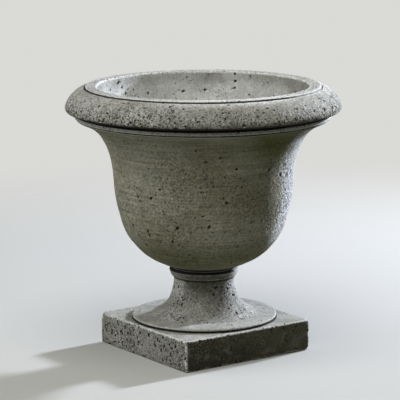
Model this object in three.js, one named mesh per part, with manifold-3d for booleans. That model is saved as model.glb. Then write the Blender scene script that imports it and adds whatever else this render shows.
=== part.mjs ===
// A classical garden urn of cast stone: a bell-shaped bowl with a rolled rim stands on a waisted
// pedestal, and the pedestal is bedded on a square plinth. Steel pins centre the bowl, which lifts
// off; steel rods tie the stem to the plinth; a plastic sleeve drains the bowl to the ground.
// Millimetres, +Z up. The origin is the centre of the plinth's underside.

import * as THREE from 'three';
import { mergeVertices } from 'three/addons/utils/BufferGeometryUtils.js';
import Module from 'manifold-3d';

const wasm = await Module();
wasm.setup();

// Joints between the pieces
const fitGap = 0.3;
const cutOverrun = 4;
const weldTolerance = 0.001;
const bedThickness = 1.6;
const seatThickness = 2.6;

// Plinth
const plinthSide = 280;
const plinthHeight = 58;
const plinthArris = 2.5;

// Pedestal: round foot, waisted stem and collar
const pedestalHeight = 90.5;
const footRadius = 134.5;
const footEdgeHeight = 5;
const footCrown = 1.4;
const footTopRadius = 98;
const footEdgeRound = 4;
const stemWaistRadius = 56.3;
const collarRadius = 65;
const collarTaper = 4;
const collarHeight = 12;
const collarShadow = 1.8;
const collarEdge = 1.5;

// Bowl: seat, bell, band, rolled rim and lip
const bowlHeight = 339.1;
const bowlSeatRadius = 60;
const bowlSeatStep = 2.2;
const bellHeight = 276.5;
const bellTopRadius = 231;
const beadHeight = 2.2;
const beadStand = 1.6;
const incisedLine = 1.6;
const incisedDepth = 2;
const bandHeight = 7.5;
const bandRadius = 236;
const bandEdge = 1.2;
const rimGrooveHeight = 5.5;
const rimGrooveDepth = 8;
const rollRadius = 254;
const rollUnderRadius = 6.5;
const rollInnerRadius = 219.4;
const rollExponent = 1.6;
const lipRadius = 216.6;
const lipRise = 3.2;
const lipEdge = 1.6;
const quirkDepth = 3.4;
const mouthRadius = 194.5;
const mouthEdge = 3;

// Inside of the bowl, and the drain
const wallThickness = 22;
const floorThickness = 30;
const floorCorner = 12;
const drainRadius = 11;
const sleeveBore = 13;
const sleeveWall = 3;
const sleeveRecess = 6;

// Seat ring and bed ring
const seatRingInner = 47;
const seatRingOuter = 57;
const bedRingInner = 70;
const bedRingOuter = 129;

// Steel pins under the bowl and rods through the stem
const pinCount = 3;
const pinRadius = 5;
const pinCircle = 40;
const pinTurnShare = 0.25;
const pinInBowl = 20;
const pinInPedestal = 24;
const rodCount = 3;
const rodRadius = 6;
const rodCircle = 38;
const rodTurnShare = 0.75;
const rodInPlinth = 35;
const rodInStem = 62;
const rodEndBevel = 1;

// Fineness of the surfaces
const roundSegments = 60;
const stemSegments = 48;
const smallSegments = 20;
const rollSteps = 7;
const underSteps = 3;
const bellSteps = 18;
const wallSteps = 14;
const stemSteps = 11;
const cornerSteps = 2;

// Bell outline from the seat to the band: shares of its height and of its top radius
const bellShares = [
  [0.0085, 0.268], [0.024, 0.321], [0.046, 0.379], [0.0735, 0.442], [0.110, 0.501],
  [0.149, 0.546], [0.203, 0.598], [0.257, 0.635], [0.311, 0.659], [0.366, 0.677],
  [0.4195, 0.693], [0.474, 0.7065], [0.528, 0.715], [0.600, 0.7225], [0.672, 0.730],
  [0.727, 0.7395], [0.781, 0.757], [0.831, 0.779], [0.871, 0.805], [0.907, 0.832],
  [0.935, 0.864], [0.961, 0.9045], [0.985, 0.958], [1, 1],
];

// Stem outline from the foot to the collar: shares of the stem's height, and how far its radius
// lies from the waist (0) towards the foot's top (1)
const stemShares = [
  [0, 1], [0.038, 0.86], [0.09, 0.71], [0.165, 0.54], [0.24, 0.397], [0.325, 0.277],
  [0.41, 0.2], [0.5, 0.145], [0.6, 0.092], [0.7, 0.05], [0.8, 0.019], [0.9, 0], [1, 0.03],
];

// Heights of the joints, from the ground up
const pedestalBase = plinthHeight + fitGap + bedThickness + fitGap;
const collarTop = pedestalBase + pedestalHeight;
const seatRingBase = collarTop + fitGap;
const bowlBase = seatRingBase + seatThickness + fitGap;
const sleeveRadius = sleeveBore + sleeveWall;

/**
 * Points of a quarter ellipse, anticlockwise from startAngle, without its first point. An exponent
 * under 2 flattens the curve towards its chord.
 */
function quarter(centre, radii, startAngle, steps, exponent = 2) {
  const power = 2 / exponent;
  const bend = (value) => Math.sign(value) * Math.abs(value) ** power;
  return Array.from({ length: steps }, (_, step) => {
    const angle = startAngle + (Math.PI / 2) * (step + 1) / steps;
    return new THREE.Vector2(
      centre.x + radii.x * bend(Math.cos(angle)),
      centre.y + radii.y * bend(Math.sin(angle)),
    );
  });
}

/** Geometry with its shared corners merged and only its positions kept. */
function weld(geometry) {
  const bare = geometry.clone();
  bare.deleteAttribute('normal');
  bare.deleteAttribute('uv');
  return mergeVertices(bare, weldTolerance);
}

/** Closed solid turned about Z from an outline in radius and height that runs anticlockwise. */
function turned(outline, segments) {
  const closed = [...outline, outline[0].clone()];
  const geometry = new THREE.LatheGeometry(closed, segments);
  geometry.rotateX(Math.PI / 2);
  return weld(geometry);
}

/** Upright cylinder between two heights at a place in plan. */
function upright(radius, low, high, place = new THREE.Vector2()) {
  const geometry = new THREE.CylinderGeometry(radius, radius, high - low, smallSegments);
  geometry.rotateX(Math.PI / 2);
  geometry.translate(place.x, place.y, (low + high) / 2);
  return weld(geometry);
}

/** Flat ring between two radii. */
function ring(inner, outer, thickness) {
  return turned([
    new THREE.Vector2(inner, 0),
    new THREE.Vector2(outer, 0),
    new THREE.Vector2(outer, thickness),
    new THREE.Vector2(inner, thickness),
  ], roundSegments);
}

/** Solid for boolean work from a welded geometry. */
function solid(geometry) {
  return new wasm.Manifold(new wasm.Mesh({
    numProp: 3,
    vertProperties: new Float32Array(geometry.attributes.position.array),
    triVerts: new Uint32Array(geometry.index.array),
  }));
}

/** Geometry of a body after tools are cut from it. */
function cutFrom(body, tools) {
  const result = tools.reduce((left, tool) => left.subtract(solid(tool)), solid(body));
  const mesh = result.getMesh();
  const geometry = new THREE.BufferGeometry();
  geometry.setAttribute('position', new THREE.BufferAttribute(mesh.vertProperties, 3));
  geometry.setIndex(new THREE.BufferAttribute(mesh.triVerts, 1));
  return geometry;
}

/** Places in plan of evenly spaced pieces on a circle, turned by a share of their spacing. */
function aroundCircle(count, radius, turnShare) {
  return Array.from({ length: count }, (_, index) => {
    const angle = (2 * Math.PI * (index + turnShare)) / count;
    return new THREE.Vector2(radius * Math.cos(angle), radius * Math.sin(angle));
  });
}

const pinPlaces = aroundCircle(pinCount, pinCircle, pinTurnShare);
const rodPlaces = aroundCircle(rodCount, rodCircle, rodTurnShare);

const weatheredStone = { color: 0x9b9b95, roughness: 0.93, metalness: 0 };
const beddingMortar = { color: 0x4a4944, roughness: 0.95, metalness: 0 };
const sealRubber = { color: 0x1d1d1c, roughness: 0.8, metalness: 0 };
const drainPlastic = { color: 0x5d615f, roughness: 0.55, metalness: 0 };
const pinSteel = { color: 0xa9abae, roughness: 0.4, metalness: 1 };

/** Named mesh with its own material. */
function piece(name, geometry, finish) {
  geometry.computeVertexNormals();
  const mesh = new THREE.Mesh(geometry, new THREE.MeshStandardMaterial(finish));
  mesh.name = name;
  return mesh;
}

/** Square block with eased arrises, bored for the drain and drilled for the rods. */
function plinthGeometry() {
  const half = plinthSide / 2 - plinthArris;
  const outline = new THREE.Shape();
  outline.moveTo(-half, -half);
  outline.lineTo(half, -half);
  outline.lineTo(half, half);
  outline.lineTo(-half, half);
  outline.closePath();
  const block = new THREE.ExtrudeGeometry(outline, {
    depth: plinthHeight - 2 * plinthArris,
    bevelEnabled: true,
    bevelSize: plinthArris,
    bevelThickness: plinthArris,
    bevelSegments: cornerSteps,
  });
  block.translate(0, 0, plinthArris);
  const bore = upright(sleeveRadius + fitGap, -cutOverrun, plinthHeight + cutOverrun);
  const holeFloor = plinthHeight - rodInPlinth - fitGap;
  const holes = rodPlaces.map((place) => (
    upright(rodRadius + fitGap, holeFloor, plinthHeight + cutOverrun, place)
  ));
  return cutFrom(weld(block), [bore, ...holes]);
}

/** Outline of the stem's side, from the edge of the foot's top up to the collar. */
function stemOutline() {
  const low = footEdgeHeight + footCrown;
  const rise = pedestalHeight - collarHeight - collarShadow - low;
  const spread = footTopRadius - stemWaistRadius;
  const curve = new THREE.SplineCurve(stemShares.map(([heightShare, spreadShare]) => (
    new THREE.Vector2(stemWaistRadius + spread * spreadShare, low + rise * heightShare)
  )));
  return curve.getPoints(stemSteps);
}

/** Foot, stem and collar in one turned piece, bored for the drain, pins and rods. */
function pedestalGeometry() {
  const boreRadius = sleeveRadius + fitGap;
  const edgeRadii = new THREE.Vector2(footEdgeRound, footEdgeHeight / 2);
  const edgeCentre = new THREE.Vector2(footRadius - footEdgeRound, footEdgeHeight / 2);
  const collarBase = pedestalHeight - collarHeight;
  const collarFoot = collarRadius - collarTaper;
  const body = turned([
    new THREE.Vector2(boreRadius, 0),
    new THREE.Vector2(edgeCentre.x, 0),
    ...quarter(edgeCentre, edgeRadii, -Math.PI / 2, cornerSteps),
    ...quarter(edgeCentre, edgeRadii, 0, cornerSteps),
    ...stemOutline(),
    new THREE.Vector2(collarFoot, collarBase),
    new THREE.Vector2(collarRadius, pedestalHeight - collarEdge),
    new THREE.Vector2(collarRadius - collarEdge, pedestalHeight),
    new THREE.Vector2(boreRadius, pedestalHeight),
  ], stemSegments);
  const pinHoles = pinPlaces.map((place) => (
    upright(pinRadius + fitGap, pedestalHeight - pinInPedestal - fitGap,
      pedestalHeight + cutOverrun, place)
  ));
  const rodHoles = rodPlaces.map((place) => (
    upright(rodRadius + fitGap, -cutOverrun, rodInStem + fitGap, place)
  ));
  return cutFrom(body, [...pinHoles, ...rodHoles]);
}

/** Outer side of the bell as a curve in radius and height above the bowl's seat. */
function bellCurve() {
  return new THREE.SplineCurve(bellShares.map(([heightShare, radiusShare]) => (
    new THREE.Vector2(bellTopRadius * radiusShare, bellHeight * heightShare)
  )));
}

/** Inner side of the wall, from the mouth down to the floor, a wall's thickness inside the bell. */
function innerWall() {
  const curve = bellCurve();
  const shares = Array.from({ length: wallSteps + 1 }, (_, step) => 1 - step / wallSteps);
  const offset = shares.map((share) => {
    const along = curve.getTangent(share);
    const point = curve.getPoint(share);
    return new THREE.Vector2(
      point.x - wallThickness * along.y,
      point.y + wallThickness * along.x,
    );
  });
  return offset.filter((point) => (
    point.x < mouthRadius && point.y > floorThickness + floorCorner / 2
  ));
}

/** Bead, incised line and band above the bell, up to the groove under the roll. */
function bandOutline() {
  const beadTop = bellHeight + beadHeight;
  const bandLow = beadTop + incisedLine;
  const bandTop = bandLow + bandHeight;
  return [
    new THREE.Vector2(bellTopRadius + beadStand, bellHeight + beadHeight / 2),
    new THREE.Vector2(bellTopRadius + beadStand, beadTop),
    new THREE.Vector2(bellTopRadius + beadStand - incisedDepth, beadTop),
    new THREE.Vector2(bellTopRadius + beadStand - incisedDepth, bandLow),
    new THREE.Vector2(bandRadius - bandEdge, bandLow),
    new THREE.Vector2(bandRadius, bandLow + bandEdge),
    new THREE.Vector2(bandRadius, bandTop - bandEdge),
    new THREE.Vector2(bandRadius - bandEdge, bandTop),
    new THREE.Vector2(bandRadius - rimGrooveDepth, bandTop),
    new THREE.Vector2(bandRadius - rimGrooveDepth, bandTop + rimGrooveHeight),
  ];
}

/** Rolled rim, quirk line and raised lip, up to the edge of the mouth. */
function rimOutline() {
  const rollBottom = bellHeight + beadHeight + incisedLine + bandHeight + rimGrooveHeight;
  const rollTop = bowlHeight - lipRise;
  const widest = rollBottom + rollUnderRadius;
  const under = new THREE.Vector2(rollRadius - rollUnderRadius, widest);
  const shoulder = new THREE.Vector2(rollInnerRadius, widest);
  const shoulderRadii = new THREE.Vector2(rollRadius - rollInnerRadius, rollTop - widest);
  const underRadii = new THREE.Vector2(rollUnderRadius, rollUnderRadius);
  const lipRadii = new THREE.Vector2(lipEdge, lipEdge);
  const lipCentre = new THREE.Vector2(lipRadius - lipEdge, bowlHeight - lipEdge);
  const mouthRadii = new THREE.Vector2(mouthEdge, mouthEdge);
  const mouthCentre = new THREE.Vector2(mouthRadius + mouthEdge, bowlHeight - mouthEdge);
  return [
    new THREE.Vector2(rollRadius - rollUnderRadius, rollBottom),
    ...quarter(under, underRadii, -Math.PI / 2, underSteps),
    ...quarter(shoulder, shoulderRadii, 0, rollSteps, rollExponent),
    new THREE.Vector2((rollInnerRadius + lipRadius) / 2, rollTop - quirkDepth),
    new THREE.Vector2(lipRadius, rollTop),
    new THREE.Vector2(lipRadius, bowlHeight - lipEdge),
    ...quarter(lipCentre, lipRadii, 0, cornerSteps),
    new THREE.Vector2(mouthRadius + mouthEdge, bowlHeight),
    ...quarter(mouthCentre, mouthRadii, Math.PI / 2, cornerSteps),
  ];
}

/** Bell, band, rim and lip in one turned piece, open inside, with blind holes for the pins. */
function bowlGeometry() {
  const wall = innerWall();
  const floorEdge = wall[wall.length - 1].x - floorCorner;
  const body = turned([
    new THREE.Vector2(drainRadius, 0),
    new THREE.Vector2(bowlSeatRadius, 0),
    new THREE.Vector2(bowlSeatRadius, bowlSeatStep),
    ...bellCurve().getPoints(bellSteps),
    ...bandOutline(),
    ...rimOutline(),
    ...wall,
    new THREE.Vector2(floorEdge, floorThickness),
    new THREE.Vector2(drainRadius, floorThickness),
  ], roundSegments);
  const holes = pinPlaces.map((place) => (
    upright(pinRadius + fitGap, -cutOverrun, pinInBowl + fitGap, place)
  ));
  return cutFrom(body, holes);
}

/** Tube for the drain water, closed only by its wall. */
function sleeveGeometry() {
  const length = collarTop - sleeveRecess;
  return turned([
    new THREE.Vector2(sleeveBore, 0),
    new THREE.Vector2(sleeveRadius, 0),
    new THREE.Vector2(sleeveRadius, length),
    new THREE.Vector2(sleeveBore, length),
  ], stemSegments);
}

/** Round steel bar with bevelled ends, standing on its lower end. */
function barGeometry(radius, length) {
  const outline = [
    new THREE.Vector2(0, 0),
    new THREE.Vector2(radius - rodEndBevel, 0),
    new THREE.Vector2(radius, rodEndBevel),
    new THREE.Vector2(radius, length - rodEndBevel),
    new THREE.Vector2(radius - rodEndBevel, length),
    new THREE.Vector2(0, length),
  ];
  const geometry = new THREE.LatheGeometry(outline, smallSegments);
  geometry.rotateX(Math.PI / 2);
  return weld(geometry);
}

/** Meshes of a set of bars that stand at the given places. */
function bars(name, places, radius, length, low) {
  return places.map((place, index) => {
    const bar = piece(`${name}_${index + 1}`, barGeometry(radius, length), pinSteel);
    bar.position.set(place.x, place.y, low);
    return bar;
  });
}

/** Everything that stays where it is when the bowl is lifted off. */
function standGroup() {
  const group = new THREE.Group();
  const plinth = piece('plinth', plinthGeometry(), weatheredStone);
  const bed = piece('foot_bed_ring', ring(bedRingInner, bedRingOuter, bedThickness), beddingMortar);
  bed.position.z = plinthHeight + fitGap;
  const pedestal = piece('pedestal', pedestalGeometry(), weatheredStone);
  pedestal.position.z = pedestalBase;
  const seat = piece('bowl_seat_ring', ring(seatRingInner, seatRingOuter, seatThickness), sealRubber);
  seat.position.z = seatRingBase;
  const sleeve = piece('drain_sleeve', sleeveGeometry(), drainPlastic);
  sleeve.position.z = sleeveRecess;
  const rodLength = rodInPlinth + (pedestalBase - plinthHeight) + rodInStem;
  const pinLength = pinInPedestal + (bowlBase - collarTop) + pinInBowl;
  group.add(plinth, bed, pedestal, seat, sleeve);
  group.add(...bars('stem_rod', rodPlaces, rodRadius, rodLength, plinthHeight - rodInPlinth));
  group.add(...bars('bowl_pin', pinPlaces, pinRadius, pinLength, collarTop - pinInPedestal));
  return group;
}

/** The part that lifts off. */
function bowlGroup() {
  const group = new THREE.Group();
  group.position.z = bowlBase;
  group.add(piece('bowl', bowlGeometry(), weatheredStone));
  return group;
}

const planter = new THREE.Group();
planter.add(standGroup(), bowlGroup());

export default planter;
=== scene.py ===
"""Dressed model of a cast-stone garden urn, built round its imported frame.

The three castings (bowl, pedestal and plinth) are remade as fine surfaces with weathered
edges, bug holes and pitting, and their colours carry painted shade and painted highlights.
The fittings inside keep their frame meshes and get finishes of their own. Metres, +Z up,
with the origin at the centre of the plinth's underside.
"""

import logging
import math
from collections.abc import Sequence
from dataclasses import dataclass, field
from enum import Enum
from functools import cached_property

import bpy
import numpy as np
from mathutils import Matrix, Vector


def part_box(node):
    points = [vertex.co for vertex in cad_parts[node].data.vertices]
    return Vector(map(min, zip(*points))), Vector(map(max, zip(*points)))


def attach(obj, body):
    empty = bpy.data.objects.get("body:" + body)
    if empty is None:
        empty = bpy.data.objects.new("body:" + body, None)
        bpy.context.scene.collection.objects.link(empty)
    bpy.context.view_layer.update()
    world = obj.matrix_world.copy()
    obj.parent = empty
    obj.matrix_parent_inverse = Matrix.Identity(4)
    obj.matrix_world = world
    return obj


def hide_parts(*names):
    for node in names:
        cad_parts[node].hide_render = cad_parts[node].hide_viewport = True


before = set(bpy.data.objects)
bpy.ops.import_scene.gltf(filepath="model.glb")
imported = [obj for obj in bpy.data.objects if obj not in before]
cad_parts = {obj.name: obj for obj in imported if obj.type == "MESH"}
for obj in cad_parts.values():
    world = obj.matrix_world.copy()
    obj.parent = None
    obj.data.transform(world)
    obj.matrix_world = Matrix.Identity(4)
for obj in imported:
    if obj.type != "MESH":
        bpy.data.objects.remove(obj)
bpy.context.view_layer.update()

LOG = logging.getLogger("urn")

Array = np.ndarray
Colour = tuple[float, float, float]
Socket = bpy.types.NodeSocket
Thing = bpy.types.Object

MM_IN_METRE = 1000.0
FLAT = 1e-6
TINY = 1e-12
FIT_GAP = 0.0003
COARSE_STEP = 0.012
CURVE_SAMPLES = 24
QUARTER = math.pi / 2.0
SEED = 1907

# Directions in plan: the side that the sun lights in the photograph, and the middle of the
# half of the bell that is painted pale as lit, away from the painted shade of its front
LIT_SIDE = np.array((0.815, -0.579))
PALE_HALF_SIDE = np.array((0.887, 0.462))


# Zones of the castings

class Zone(Enum):
    """Stretches of the castings that were cast, weathered and pitted in their own way."""

    HIDDEN = "hidden"
    SEAT = "seat"
    BELL = "bell"
    BAND = "band"
    GROOVE = "groove"
    ROLL = "roll"
    QUIRK = "quirk"
    LIP = "lip"
    WALL = "wall"
    FLOOR = "floor"
    FOOT = "foot"
    STEM = "stem"
    COLLAR = "collar"
    SIDE = "side"
    TOP = "top"


@dataclass(frozen=True)
class ZoneLook:
    """How the stone of one zone came out of its mould and weathered.

    relief is the depth of its uneven surface and crumble the depth lost at its edges,
    grit the share of fine pits, holes the bug holes on a square metre, largest the radius
    of the largest hole, soot the painted shade that it holds all over and rubbed how much
    paler it is made by wear and painted highlights, below 0 where painted shade stays.
    """

    relief: float = 0.0
    crumble: float = 0.0
    grit: float = 0.0
    holes: float = 0.0
    largest: float = 0.0025
    soot: float = 0.0
    rubbed: float = 0.0


ZONE_LOOKS = {
    Zone.HIDDEN: ZoneLook(),
    Zone.SEAT: ZoneLook(0.0001, grit=0.2),
    Zone.BELL: ZoneLook(0.0013, 0.0003, 0.85, 1200, 0.0026),
    Zone.BAND: ZoneLook(0.0003, 0.0004, 0.12, 200, 0.0020, rubbed=0.35),
    # The groove and the quirk are dark with painted shade, and below 0 keeps the groove from
    # paling
    Zone.GROOVE: ZoneLook(0.0002, grit=0.2, soot=1.1, rubbed=-1.0),
    Zone.ROLL: ZoneLook(0.0007, 0.0003, 1.0, 4600, 0.0026),
    Zone.QUIRK: ZoneLook(0.0002, 0.0003, 0.2, soot=1.1),
    Zone.LIP: ZoneLook(0.0003, 0.0005, 0.4, 500, 0.0022, rubbed=0.12),
    Zone.WALL: ZoneLook(0.0006, 0.0, 0.4, 260, 0.0021),
    Zone.FLOOR: ZoneLook(0.0006, 0.0, 0.4, 600, 0.0030),
    Zone.FOOT: ZoneLook(0.0003, 0.0003, 0.25, 300, 0.0020),
    Zone.STEM: ZoneLook(0.0004, 0.0002, 0.80, 1500, 0.0025),
    Zone.COLLAR: ZoneLook(0.0003, 0.0005, 0.55, 700, 0.0018),
    Zone.SIDE: ZoneLook(0.0008, 0.0011, 1.0, 5500, 0.0030),
    Zone.TOP: ZoneLook(0.0005, 0.0012, 0.2, 600, 0.0024),
}


# Curves and fields

@dataclass(frozen=True)
class Ramp:
    """Smooth rise from 0 at low to gain at high: gain * t * t * (3 - 2 * t), where t is the
    share of the way from low to high, from 0 to 1."""

    low: float
    high: float
    gain: float = 1.0

    def __call__(self, values: Array) -> Array:
        """The rise at some values."""
        share = np.clip((values - self.low) / (self.high - self.low), 0.0, 1.0)
        return self.gain * (share * share * (3.0 - 2.0 * share))


def lengths(vectors: Array) -> Array:
    """Length of each vector, never quite 0."""
    return np.maximum(np.linalg.norm(vectors, axis=-1), TINY)


def unit(vectors: Array) -> Array:
    """Vectors brought to a length of 1."""
    return vectors / lengths(vectors)[..., None]


def spline(points: Array) -> Array:
    """Catmull-Rom curve through points: a cubic in each span whose slope at a point is
    half the step between the points on both sides of it.

    Args:
        points: corners of the curve, one row each.

    Returns:
        Close points along it.
    """
    last = len(points) - 1
    place = np.linspace(0.0, 1.0, len(points) * CURVE_SAMPLES) * last
    index = np.minimum(place.astype(int), last - 1)
    t = (place - index)[:, None]
    before, here = points[np.maximum(index - 1, 0)], points[index]
    after, beyond = points[index + 1], points[np.minimum(index + 2, last)]
    leave, arrive = (after - before) / 2.0, (beyond - here) / 2.0
    return ((2.0 * here - 2.0 * after + leave + arrive) * t ** 3
            + (-3.0 * here + 3.0 * after - 2.0 * leave - arrive) * t ** 2
            + leave * t + here)


def even_points(points: Array, step: float) -> Array:
    """Points spaced evenly by length along a chain of points.

    Args:
        points: the chain, closely spaced.
        step: wanted spacing.

    Returns:
        The new points, with both ends kept.
    """
    steps = np.linalg.norm(np.diff(points, axis=0), axis=1)
    travelled = np.concatenate(([0.0], np.cumsum(steps)))
    count = max(1, round(travelled[-1] / step))
    places = np.linspace(0.0, travelled[-1], count + 1)
    return np.stack([np.interp(places, travelled, row) for row in points.T], axis=1)


def offset_chain(points: Array, distance: float) -> Array:
    """Chain moved to its left, square to its own direction, by one distance."""
    along = unit(np.gradient(points, axis=0))
    return points + distance * np.stack((-along[:, 1], along[:, 0]), axis=1)


class LatticeNoise:
    """Smooth random field in space, from random slopes at the corners of a lattice."""

    TABLE = 256
    GAIN = 1.7

    def __init__(self, seed: int) -> None:
        """Shuffle the table of corners and draw a slope for each."""
        rng = np.random.default_rng(seed)
        self.order = rng.permutation(self.TABLE)
        self.slopes = unit(rng.normal(size=(self.TABLE, 3)))

    def __call__(self, points: Array, length: float) -> Array:
        """Field at some points: each corner of the cell round a point gives its slope times
        the offset from it, and a quintic fade blends the eight corners.

        Args:
            points: places, with the coordinates on the last axis.
            length: size of the lattice's cells, and so of the field's bumps.

        Returns:
            Values from about -1 to 1, one for each point.
        """
        scaled = points / length
        cell = np.floor(scaled).astype(int)
        offset = scaled - cell
        fade = offset ** 3 * (offset * (offset * 6.0 - 15.0) + 10.0)
        total = np.zeros(points.shape[:-1])
        for corner in np.ndindex(2, 2, 2):
            slot = 0
            for axis in range(3):
                slot = self.order[(slot + cell[..., axis] + corner[axis]) % self.TABLE]
            weight = np.prod(np.where(corner, fade, 1.0 - fade), axis=-1)
            total += weight * np.sum(self.slopes[slot] * (offset - corner), axis=-1)
        return total * self.GAIN


class Outline:
    """Closed outline in radius and height, walked with the stone on its left."""

    def __init__(self, radius: float, height: float) -> None:
        """Start at one point of the outline."""
        self.chains: list[Array] = [np.array([[radius, height]])]
        self.zones: list[Zone] = [Zone.HIDDEN]

    @property
    def end(self) -> Array:
        """Last point so far."""
        return self.chains[-1][-1]

    @property
    def points(self) -> Array:
        """All the points so far, one row each."""
        return np.concatenate(self.chains)

    def follow(self, chain: Array, zone: Zone, step: float) -> None:
        """Go along a chain that begins at the outline's end.

        Args:
            chain: closely spaced points.
            zone: zone of the new stretch.
            step: spacing of its points.
        """
        new = even_points(chain, step)[1:]
        self.chains.append(new)
        self.zones.extend([zone] * len(new))

    def line(self, radius: float, height: float, zone: Zone = Zone.HIDDEN,
             step: float = COARSE_STEP) -> None:
        """Go straight to a point."""
        self.follow(np.array([self.end, [radius, height]]), zone, step)

    def path(self, *stops: Sequence) -> None:
        """Go straight from stop to stop, each a radius, a height, a zone and a spacing."""
        for stop in stops:
            self.line(*stop)

    def arc(self, width: float, rise: float, start: float, zone: Zone, step: float,
            exponent: float = 2.0) -> None:
        """Turn through a quarter of an ellipse, anticlockwise: the signed powers 2 / exponent
        of cosine and sine, times its half width and half height.

        Args:
            width: half width of the ellipse.
            rise: half height of the ellipse.
            start: angle at which the arc starts.
            zone: zone of the arc.
            step: spacing of its points.
            exponent: 2 for an ellipse, less for a flatter curve.
        """
        angle = start + np.linspace(0.0, QUARTER, CURVE_SAMPLES * 2)
        shape = np.stack((np.cos(angle), np.sin(angle)), axis=1)
        shape = np.sign(shape) * np.abs(shape) ** (2.0 / exponent) * (width, rise)
        self.follow(self.end + shape - shape[0], zone, step)


# Skins: closed grids of points

@dataclass(frozen=True)
class Hole:
    """One bug hole or chip: a dished hollow with an uneven oval edge.

    place is a point on or near the surface, radius the oval's mean half width, depth how
    deep it goes, and stretch how much longer it is than wide.
    """

    place: Sequence[float]
    radius: float
    depth: float
    stretch: float = 1.2

    @classmethod
    def table(cls, *rows: Sequence[float]) -> "tuple[Hole, ...]":
        """Holes from rows of x, y, z, radius and depth in millimetres, and maybe a stretch."""
        return tuple(cls(tuple(value / MM_IN_METRE for value in row[:3]), row[3] / MM_IN_METRE,
                         row[4] / MM_IN_METRE, *row[5:]) for row in rows)

    @classmethod
    def ring(cls, *rows: Sequence[float]) -> "tuple[Hole, ...]":
        """The same with azimuth in degrees, height and distance from the axis for a place."""
        return cls.table(*((reach * math.cos(math.radians(turn)),
                            reach * math.sin(math.radians(turn)), height, *size)
                           for turn, height, reach, *size in rows))


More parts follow.
